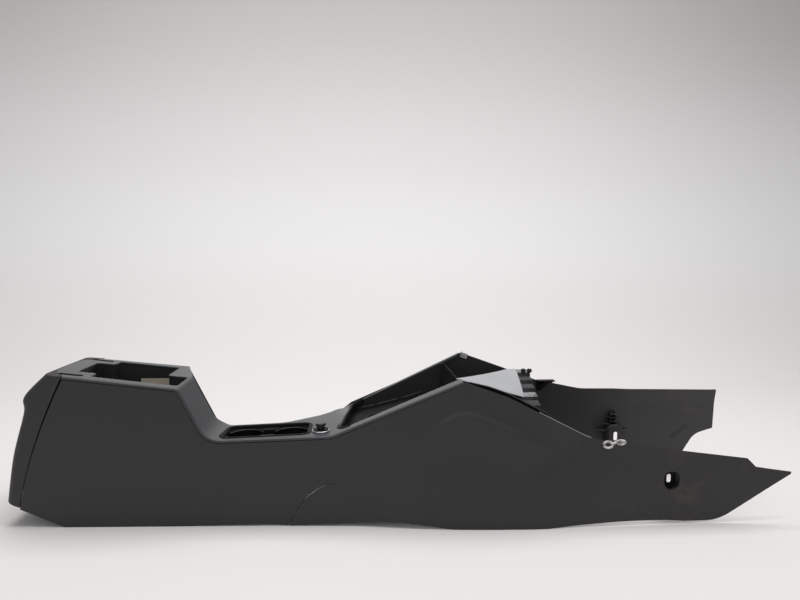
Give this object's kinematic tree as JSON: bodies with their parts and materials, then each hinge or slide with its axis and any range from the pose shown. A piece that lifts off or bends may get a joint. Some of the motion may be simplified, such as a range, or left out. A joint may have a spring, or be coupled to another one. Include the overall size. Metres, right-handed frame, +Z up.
{
  "type": "car center console",
  "caption": "Floor console for a car: two moulded sides under one trim with bin, cup wells, socket and lighter, hand brake recess and shift opening",
  "frame": {"origin": "on the surface that the console stands on, under the middle of its box", "axes": "+X towards the dashboard, +Y towards the car's left side, +Z up"},
  "size_m": [1.2, 0.2604, 0.2308],
  "materials": {
    "console_plastic": "fine grain, near black",
    "inner_plastic": "smooth, black",
    "knob_plastic": "semi-gloss black",
    "light_sheet": "matt light grey",
    "bracket_steel": "plain pressed steel",
    "barrel_metal": "bright plated",
    "contact_brass": "plain",
    "screw_steel": "dark plated",
    "clip_metal": "light plated",
    "buffer_rubber": "matt black",
    "label_paper": "matt paper"
  },
  "bodies": {
    "console": {"right_side_panel": "console_plastic", "left_side_panel": "console_plastic", "upper_trim": "console_plastic", "rear_cover": "console_plastic", "storage_bin": "console_plastic", "bin_label": "label_paper", "hinge_bracket": "bracket_steel", "handbrake_tray": "console_plastic", "cup_holder": "console_plastic", "socket_sleeve": "console_plastic", "socket_barrel": "barrel_metal", "socket_contact": "contact_brass", "shift_surround": "inner_plastic", "front_cover_plate": "light_sheet", "front_bracket": "inner_plastic", "bracket_buffer_1": "buffer_rubber", "bracket_buffer_2": "buffer_rubber", "dash_bracket_left": "inner_plastic", "rear_crossmember": "console_plastic", "mid_crossmember": "console_plastic", "rear_crossmember_screw_right": "screw_steel", "rear_crossmember_screw_left": "screw_steel", "mid_crossmember_screw_right": "screw_steel", "mid_crossmember_screw_left": "screw_steel", "front_bracket_screw_right": "screw_steel", "front_bracket_screw_left": "screw_steel", "rear_cover_screw_right": "screw_steel", "rear_cover_screw_left": "screw_steel", "edge_spring_clip": "clip_metal", "rail_clip": "clip_metal"},
    "lighter": {"lighter_shell": "barrel_metal"},
    "knob": {"lighter_knob": "knob_plastic", "lighter_coil_cup": "contact_brass"}
  },
  "joints": [
    {"name": "lighter_pull", "type": "slide", "parent": "console", "child": "lighter", "axis": [-0.039, 0, 0.9992], "range_m": [0, 0.036]},
    {"name": "knob_press", "type": "slide", "parent": "lighter", "child": "knob", "axis": [-0.039, 0, 0.9992], "range_m": [-0.004, 0], "stiffness_N_per_m": 400, "springref_m": 0.002}
  ]
}
